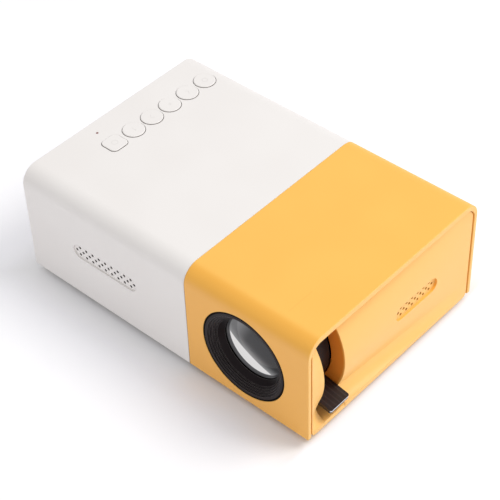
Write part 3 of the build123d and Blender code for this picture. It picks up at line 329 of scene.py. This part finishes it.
marks = ring_mark(white_cap, round_key_y[0], 0.0010)
marks = marks.most(arrow_mark(white_cap, round_key_y[1], 1))
marks = marks.most(ring_mark(white_cap, round_key_y[2], 0.0004))
marks = marks.most(arrow_mark(white_cap, round_key_y[3], -1))
bar_mark = white_cap.y.near(round_key_y[4], mark_half_w, mark_soft)
marks = marks.most(bar_mark * white_cap.x.near(key_row_x, 0.0010, 0.0001))
marks = marks.most(ring_mark(white_cap, power_key_y, 0.0011))
skirt = 1 - white_cap.z.rise(top_z + 0.00005, top_z + 0.0002)
cap_skin = white_cap.blend(marks * 0.35, white_cap.body, mark_grey)
white_cap.colour_with(white_cap.blend(skirt, cap_skin, gap_shade))
white_cap.relief(white_cap.noise(abs_grain, 3) - marks * 4, 0.000012, 0.0003)
white_cap.dress("power_key", *[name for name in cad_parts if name.startswith("round_key")])


# ---- Status light ----
# A thin acrylic rod, tinted dark red, that ends level with the cover beside the power key.
status_red = (0.26, 0.10, 0.09)
status_red_pale = (0.34, 0.14, 0.125)
status_lens = Finish("status_lens", {"IOR": 1.49, "Coat Weight": 0.6, "Coat Roughness": 0.1})
cloud = status_lens.noise(0.0004, 2)
status_lens.paint(status_lens.blend(cloud, status_red, status_red_pale), cloud * 0.1 + 0.18)
status_lens.relief(cloud, 0.000004, 0.0001)
status_lens.dress("light_pipe")


# ---- Lens bezel, barrel and cell ----
# Black mouldings: the bezel clips into the front face and steps down to the glass, the barrel
# stands on the light engine behind it, and the cell that holds the lenses slides in the barrel.
satin_black = (0.015, 0.0105, 0.0115)
satin_black_deep = (0.011, 0.0075, 0.0085)
# The bezel's edge colour is a painted highlight along its steps.
satin_black_edge_highlight = (0.30, 0.27, 0.26)
lit_lip_charcoal = (0.024, 0.0185, 0.020)
rim_black = (0.001, 0.0006, 0.0006)
trim_edge = 0.00022
trim_rough = 0.42
bezel_r = 0.0170
funnel_mouth_r = 0.0135
black_trim = moulded(
    "black_trim", satin_black, satin_black_deep, satin_black_edge_highlight,
    trim_rough, 0.0004, 0.00001, trim_edge, 0.10,
)
from_axis = distance(black_trim.x - lens_x, black_trim.z - lens_z)
# Painted shade: the funnel inside keeps the darker black, and the lip round it is painted lighter as
# if lit.
lit_lip = from_axis.rise(funnel_mouth_r, funnel_mouth_r + 0.0006)
lit_lip = lit_lip * (1 - black_trim.edges(trim_edge))
rim = from_axis.rise(bezel_r - 0.0007, bezel_r - 0.00045)
trim_skin = black_trim.blend(lit_lip, black_trim.body, lit_lip_charcoal)
black_trim.paint(black_trim.blend(rim, trim_skin, rim_black), rim * 0.5 + trim_rough)
black_trim.dress("lens_bezel")
matt_black = moulded(
    "matt_black", (0.010, 0.008, 0.008), (0.007, 0.006, 0.006), (0.03, 0.027, 0.027),
    0.58, 0.0005, 0.00002, 0.0002, 0.10,
)
matt_black.dress("lens_barrel", "lens_cell", "engine_housing", "engine_lid", "condenser_holder")
lens_ring_grey = Finish("lens_ring_grey", {"Metallic": 1.0})
lathe = lens_ring_grey.noise(0.0003, 2, (1, 6, 1))
lens_ring_grey.paint(
    lens_ring_grey.blend(lathe, (0.10, 0.10, 0.105), (0.15, 0.15, 0.155)), lathe * 0.15 + 0.28
)
lens_ring_grey.relief(lathe, 0.000006, 0.0001)
lens_ring_grey.dress("lens_retainer")


# ---- Lenses ----
# Three polished lenses in the cell. The front one is a deep meniscus with a single-layer
# coating: a painted reflection of the pale table, given as emission, lies on its lower half,
# and a painted grey glow over the rest.
pale_sheen = (0.74, 0.725, 0.72)
reflection_grey = (0.27, 0.27, 0.275)
reflection_deep_grey = (0.030, 0.030, 0.031)
glass_black = (0.008, 0.008, 0.010)
glass_blue_black = (0.012, 0.012, 0.014)
glass_seen_r = 0.0111
sheen_up = 0.886         # the sheen leans, so it lies along neither X nor Z
sheen_out = 0.463
sheen_bow = 20           # bend of the crescent's inner line, per metre
front_glass = Finish(
    "front_glass",
    {
        "IOR": 1.5,
        "Specular IOR Level": 0.15,
        "Coat Weight": 0.22,
        "Coat Roughness": 0.03,
        "Emission Strength": 1.0,
    },
)
# Painted reflection: a pale crescent and a grey glow, given to the glass as emission.
off_x = front_glass.x - lens_x
off_z = front_glass.z - lens_z
across_glass = off_x * sheen_out + off_z * sheen_up
along_glass = off_x * sheen_up - off_z * sheen_out
crescent_line = across_glass + along_glass * along_glass * sheen_bow
crescent = 1 - crescent_line.rise(-0.0034, -0.0029)
crescent = crescent * (1 - distance(off_x, off_z).rise(glass_seen_r - 0.0003, glass_seen_r))
glow = (1 - crescent_line.rise(-0.0040, 0.0032)) ** 1.8
side_glow = 1 - along_glass.rise(-0.0095, -0.0030)
painted_reflection = front_glass.blend(glow, reflection_deep_grey, reflection_grey)
painted_reflection = front_glass.blend(side_glow * 0.55, painted_reflection, reflection_grey)
painted_reflection = front_glass.blend(crescent, painted_reflection, pale_sheen)
front_glass.feed(front_glass.shader.inputs["Emission Color"], painted_reflection)
polish = front_glass.noise(0.004, 1)
front_glass.paint(
    front_glass.blend(polish, glass_black, glass_blue_black), polish * 0.05 + 0.08
)
front_glass.dress("front_lens")
clear_glass = Finish("clear_glass", {"IOR": 1.5, "Transmission Weight": 0.9})
haze = clear_glass.noise(0.005, 1)
clear_glass.paint(
    clear_glass.blend(haze, (0.86, 0.90, 0.91), (0.80, 0.86, 0.88)), haze * 0.04 + 0.02
)
clear_glass.dress("middle_lens", "rear_lens", "condenser_lens")


# ---- Focus ring and lever ----
# A black acetal ring that turns on the barrel, with three cam slots for steel pins and a flat
# thumb lever that comes out through the slot. Turning it drives the lenses in and out.
acetal = (0.016, 0.009, 0.008)
acetal_deep = (0.011, 0.006, 0.006)
acetal_edge_highlight = (0.07, 0.055, 0.05)
lever_brown = (0.021, 0.012, 0.011)
lever_brown_deep = (0.015, 0.009, 0.008)
tip_highlight_silver = (0.80, 0.83, 0.92)
rib_brown = (0.052, 0.036, 0.033)
rib_pitch = 0.0017
tip_x = 0.0640
tip_line_z = 0.01072
black_acetal = moulded(
    "black_acetal", acetal, acetal_deep, acetal_edge_highlight, 0.42, 0.0004, 0.000012, 0.00025, 0.25
)
black_acetal.dress("focus_ring")
lever_finish = moulded(
    "lever_acetal", lever_brown, lever_brown_deep, acetal_edge_highlight,
    0.36, 0.0004, 0.000012, 0.0003, 0.3,
)
# Painted highlight: a thin pale line along the tip's end face, as if it caught the light.
tip_highlight = lever_finish.x.rise(tip_x - 0.0007, tip_x - 0.0004)
tip_highlight = tip_highlight * lever_finish.z.near(tip_line_z, 0.00022, 0.00010)
lever_skin = lever_finish.blend(tip_highlight, lever_finish.body, tip_highlight_silver)
ribs = (lever_finish.y / rib_pitch % 1.0).near(0.5, 0.07, 0.12) * (1 - tip_highlight)
lever_finish.colour_with(lever_finish.blend(ribs * 0.5, lever_skin, rib_brown))
draw_marks = lever_finish.noise(0.0007, 2, (0.08, 1, 1))
lever_finish.relief(draw_marks, 0.00009, 0.0003)
lever_finish.dress("focus_lever")


# ---- Machined and plated metal ----
# Zinc-plated screws, sockets, switch frames and speaker basket, blued case screws, a brass
# tripod insert pressed into the base, and the extruded aluminium heat sink behind the lamp.
def metal(name, dull, bright, rough, size, stretch):
    """Bare or plated metal with fine draw marks that run one way."""
    finish = Finish(name, {"Metallic": 1.0})
    scratch = finish.noise(size, 3, stretch)
    tarnish = finish.noise(0.006, 2)
    colour = finish.blend(tarnish.rise(0.3, 0.7), dull, bright)
    finish.paint(colour, scratch * 0.2 + rough)
    finish.relief(scratch, 0.000006, 0.00015)
    return finish


plated_steel = metal(
    "plated_steel", (0.50, 0.50, 0.51), (0.62, 0.62, 0.63), 0.22, 0.0006, (1, 8, 8)
)
plated_steel.dress(
    "cam_pins", "speaker_basket", "key_switches", "engine_screws", "board_screws",
    "video_socket", "data_socket", "card_socket",
)
spring_steel = metal(
    "spring_steel", (0.38, 0.38, 0.40), (0.48, 0.48, 0.50), 0.25, 0.0005, (1, 6, 1)
)
spring_steel.dress("barrel_clip")
blued_steel = metal(
    "blued_steel", (0.045, 0.045, 0.05), (0.07, 0.07, 0.075), 0.35, 0.0005, (1, 1, 1)
)
blued_steel.dress("case_screws")
turned_brass = metal(
    "turned_brass", (0.62, 0.44, 0.18), (0.76, 0.56, 0.26), 0.25, 0.0004, (1, 1, 6)
)
turned_brass.dress("tripod_insert")
extruded_aluminium = metal(
    "extruded_aluminium", (0.62, 0.63, 0.64), (0.74, 0.75, 0.76), 0.30, 0.0007, (1, 10, 1)
)
extruded_aluminium.dress("heat_sink")
nickel_cup = metal(
    "nickel_cup", (0.34, 0.34, 0.35), (0.44, 0.44, 0.45), 0.30, 0.0007, (1, 1, 1)
)
nickel_cup.dress("speaker_magnet")


# ---- Sockets, remote window and feet ----
# Black nylon socket bodies soldered to the main board, a dark infrared window in the white end
# panel, and four rubber feet glued into round seats under the bases.
nylon_black = moulded(
    "socket_nylon", (0.018, 0.018, 0.018), (0.014, 0.014, 0.014), (0.04, 0.04, 0.04),
    0.5, 0.0004, 0.00002, 0.0002,
)
nylon_black.dress("power_socket", "sound_socket")
dark_window = Finish("infrared_window", {"IOR": 1.5})
ripple = dark_window.noise(0.003, 1)
dark_window.paint(
    dark_window.blend(ripple, (0.02, 0.008, 0.012), (0.03, 0.010, 0.016)), ripple * 0.05 + 0.08
)
dark_window.relief(ripple, 0.00002, 0.0003)
dark_window.dress("remote_window")
foot_rubber = moulded(
    "foot_rubber", (0.035, 0.034, 0.034), (0.028, 0.027, 0.027), (0.06, 0.06, 0.06),
    0.75, 0.0006, 0.00004, 0.0003,
)
foot_rubber.dress("foot_1", "foot_2", "foot_3", "foot_4")


# ---- Fan and speaker ----
# A seven-blade fan in glass-filled nylon behind the rear grille, and a small racetrack speaker
# with a pressed paper cone, held against the front grille by a foam gasket.
fan_nylon = moulded(
    "fan_nylon", (0.022, 0.022, 0.023), (0.016, 0.016, 0.017), (0.05, 0.05, 0.05),
    0.45, 0.0003, 0.00002, 0.0002,
)
fan_nylon.dress("fan_frame", "fan_rotor")
cone_paper = Finish("cone_paper", {})
fibre = cone_paper.noise(0.0005, 4, (1, 1, 3))
cone_paper.paint(
    cone_paper.blend(fibre, (0.012, 0.012, 0.012), (0.035, 0.034, 0.033)), fibre * 0.1 + 0.8
)
cone_paper.relief(fibre, 0.00006, 0.0003)
cone_paper.dress("speaker_cone")
foam = Finish("foam_tape", {})
cells = foam.number("ShaderNodeTexVoronoi", {}, {"Vector": foam.spot, "Scale": 2600})
foam.paint(foam.blend(cells, (0.02, 0.02, 0.021), (0.06, 0.06, 0.062)), cells * 0.1 + 0.85)
foam.relief(cells, 0.0001, 0.0002)
foam.dress("speaker_gasket", "mirror_pad")


# ---- Picture path ----
# Inside the engine the lamp's light passes a liquid crystal panel between two fresnel sheets and
# folds off a front-silvered mirror towards the lens.
engine_y = 0.007
engine_z = 0.0239
groove_pitch = 0.00025
cell_pitch = 0.0001
track_pitch = 0.0005
fresnel_sheet = Finish("fresnel_sheet", {"IOR": 1.49, "Transmission Weight": 0.85})
groove = distance(fresnel_sheet.y - engine_y, fresnel_sheet.z - engine_z) / groove_pitch % 1.0
fresnel_sheet.paint(
    fresnel_sheet.blend(groove, (0.86, 0.88, 0.90), (0.76, 0.79, 0.82)), groove * 0.04 + 0.05
)
fresnel_sheet.relief(groove, 0.00004, 0.0001)
fresnel_sheet.dress("rear_fresnel", "front_fresnel")
panel_black = moulded(
    "panel_border", (0.03, 0.03, 0.035), (0.024, 0.024, 0.03), (0.06, 0.06, 0.065),
    0.35, 0.0005, 0.00001, 0.0001,
)
panel_black.dress("lcd_panel")
picture_cells = Finish("picture_cells", {"IOR": 1.5})
cell_columns = (picture_cells.y / cell_pitch % 1.0).rise(0.8, 0.9)
cell_grid = cell_columns.most((picture_cells.z / cell_pitch % 1.0).rise(0.8, 0.9))
picture_cells.paint(
    picture_cells.blend(cell_grid, (0.10, 0.12, 0.16), (0.03, 0.035, 0.05)), cell_grid * 0.1 + 0.1
)
picture_cells.dress("picture_glass")
polyimide = Finish("polyimide_ribbon", {"IOR": 1.6})
tracks = (polyimide.z / track_pitch % 1.0).near(0.5, 0.22, 0.06)
polyimide.paint(
    polyimide.blend(tracks, (0.55, 0.27, 0.05), (0.72, 0.42, 0.12)), tracks * 0.1 + 0.25
)
polyimide.relief(tracks, 0.00002, 0.0001)
polyimide.dress("lcd_ribbon")
silvering = Finish("front_silvering", {"Metallic": 1.0})
dust = silvering.noise(0.002, 4).rise(0.6, 0.8)
silvering.paint(
    silvering.blend(dust, (0.88, 0.89, 0.90), (0.78, 0.79, 0.80)), dust * 0.1 + 0.03
)
silvering.dress("fold_mirror")


# ---- Lamp and circuit boards ----
# One white LED under a silicone dome on an aluminium-cored board, with the main board under the
# engine and the key board under the top: green solder mask, copper tracks and black packages.
copper_pitch_x = 0.0011
copper_pitch_y = 0.0013
led_dome = Finish("led_phosphor", {"IOR": 1.41, "Coat Roughness": 0.05})
powder = led_dome.noise(0.0006, 3)
led_dome.paint(led_dome.blend(powder, (0.80, 0.62, 0.14), (0.92, 0.80, 0.34)), powder * 0.1 + 0.35)
led_dome.relief(powder, 0.00001, 0.0002)
led_dome.dress("led_emitter")
lamp_mask = Finish("lamp_board_mask", {"IOR": 1.5})
orange_peel = lamp_mask.noise(0.0008, 2)
lamp_mask.paint(
    lamp_mask.blend(orange_peel, (0.70, 0.70, 0.68), (0.80, 0.80, 0.78)), orange_peel * 0.1 + 0.3
)
lamp_mask.relief(orange_peel, 0.00001, 0.0001)
lamp_mask.dress("led_board")
solder_mask = Finish("solder_mask", {"IOR": 1.5})
wander = solder_mask.noise(0.003, 1) * 0.6
rows = ((solder_mask.x / copper_pitch_x + wander) % 1.0).near(0.5, 0.16, 0.05)
columns = ((solder_mask.y / copper_pitch_y + wander) % 1.0).near(0.5, 0.14, 0.05)
copper = rows.most(columns) * solder_mask.noise(0.007, 2).rise(0.42, 0.5)
solder_mask.paint(
    solder_mask.blend(copper, (0.006, 0.10, 0.035), (0.015, 0.19, 0.07)), copper * 0.05 + 0.28
)
solder_mask.relief(copper, 0.00003, 0.0001)
solder_mask.dress("main_board", "key_board")
epoxy = moulded(
    "chip_epoxy", (0.022, 0.022, 0.023), (0.016, 0.016, 0.017), (0.05, 0.05, 0.05),
    0.55, 0.00025, 0.00001, 0.0001,
)
epoxy.dress("board_chips")


# ---- Table, light and camera ----
# A seamless white table top in a pale room, with one large soft light behind the projector's
# right shoulder, so that the shadow falls softly to the front and left.
camera_place = Vector((0.25950, -0.27878, 0.37902))
camera_around = math.radians(42.984)
camera_above = math.radians(43.558)
camera_roll = math.radians(-2.129)
camera_lens = 110.25
table_size = 6.0
table_white = (0.79, 0.783, 0.766)
table_pale = (0.80, 0.792, 0.776)
table_glow = (0.235, 0.235, 0.275)
end_glow = (0.25, 0.285, 0.36)
foot_half_x = 0.063
foot_half_y = 0.0432
body_mid_x = -0.001
glow_reach = 0.016
contact_depth = 0.0035
end_glow_x = (0.0600, 0.0630)
end_glow_fade = (0.070, 0.110)
room_height = 0.9
light_place = Vector((0.55, 0.45, 0.95))
light_size = 0.55
light_power = 7.0
room_low = 0.61
room_high = 0.71

back = Vector((
    math.sin(camera_around) * math.cos(camera_above),
    -math.cos(camera_around) * math.cos(camera_above),
    math.sin(camera_above),
))
right = (-back).cross(Vector((0, 0, 1))).normalized()
up = right.cross(-back)
turned_right = right * math.cos(camera_roll) + up * math.sin(camera_roll)
turned_up = up * math.cos(camera_roll) - right * math.sin(camera_roll)
camera_data = bpy.data.cameras.new("camera")
camera_data.sensor_width = 36
camera_data.lens = camera_lens
camera_data.clip_start = 0.01
camera = bpy.data.objects.new("camera", camera_data)
turn = Matrix((turned_right, turned_up, back)).transposed().to_4x4()
camera.matrix_world = Matrix.Translation(camera_place) @ turn
bpy.context.scene.collection.objects.link(camera)
bpy.context.scene.camera = camera

softbox = bpy.data.lights.new("softbox", "AREA")
softbox.shape = "DISK"
softbox.size = light_size
softbox.energy = light_power
softbox_object = bpy.data.objects.new("softbox", softbox)
softbox_object.location = light_place
softbox_object.rotation_euler = light_place.to_track_quat("Z", "Y").to_euler()
bpy.context.scene.collection.objects.link(softbox_object)

room = bpy.data.worlds.new("room")
room.use_nodes = True
sky = NodeTree(room.node_tree)
background = sky.tree.nodes["Background"]
background.inputs["Color"].default_value = (1, 1, 1, 1)
height = sky.parts_of(sky.node("ShaderNodeTexCoord").outputs["Generated"])[2]
brightness = sky.number(
    "ShaderNodeMapRange",
    {},
    {"Value": height, "From Max": room_height, "To Min": room_low, "To Max": room_high},
)
sky.feed(background.inputs["Strength"], brightness)
bpy.context.scene.world = room
bpy.context.scene.view_settings.view_transform = "Standard"

table_mesh = bpy.data.meshes.new("table_top")
corners = [(-1, -1), (1, -1), (1, 1), (-1, 1)]
table_mesh.from_pydata(
    [(x * table_size / 2, y * table_size / 2, 0) for x, y in corners], [], [(0, 1, 2, 3)]
)
table = bpy.data.objects.new("table_top", table_mesh)
bpy.context.scene.collection.objects.link(table)
table_finish = Finish("table_paper", {"Specular IOR Level": 0.2, "Emission Strength": 1.0})
# Painted light: the sheet glows a little away from the body, so the grey near it is a painted
# contact shadow.
past_x = abs(table_finish.x - body_mid_x) - foot_half_x
past_y = abs(table_finish.y) - foot_half_y
past_body = past_x.most(past_y)
off_contact = past_body.rise(-contact_depth, 0.0008)
clear_of_body = off_contact * 0.5 + past_body.rise(0.0, glow_reach) * 0.5
# Painted light: a bluish glow on the sheet beside the yellow end.
beside_end = table_finish.x.rise(*end_glow_x) * (1 - table_finish.x.rise(*end_glow_fade))
beside_end = beside_end * table_finish.y.near(0.0, 0.040, 0.030)
lit_table = table_finish.blend(clear_of_body, (0, 0, 0), table_glow)
table_finish.feed(
    table_finish.shader.inputs["Emission Color"], table_finish.blend(beside_end, lit_table, end_glow)
)
tooth = table_finish.noise(0.002, 2)
table_finish.paint(table_finish.blend(tooth, table_white, table_pale), tooth * 0.05 + 0.7)
table_mesh.materials.append(table_finish.material)
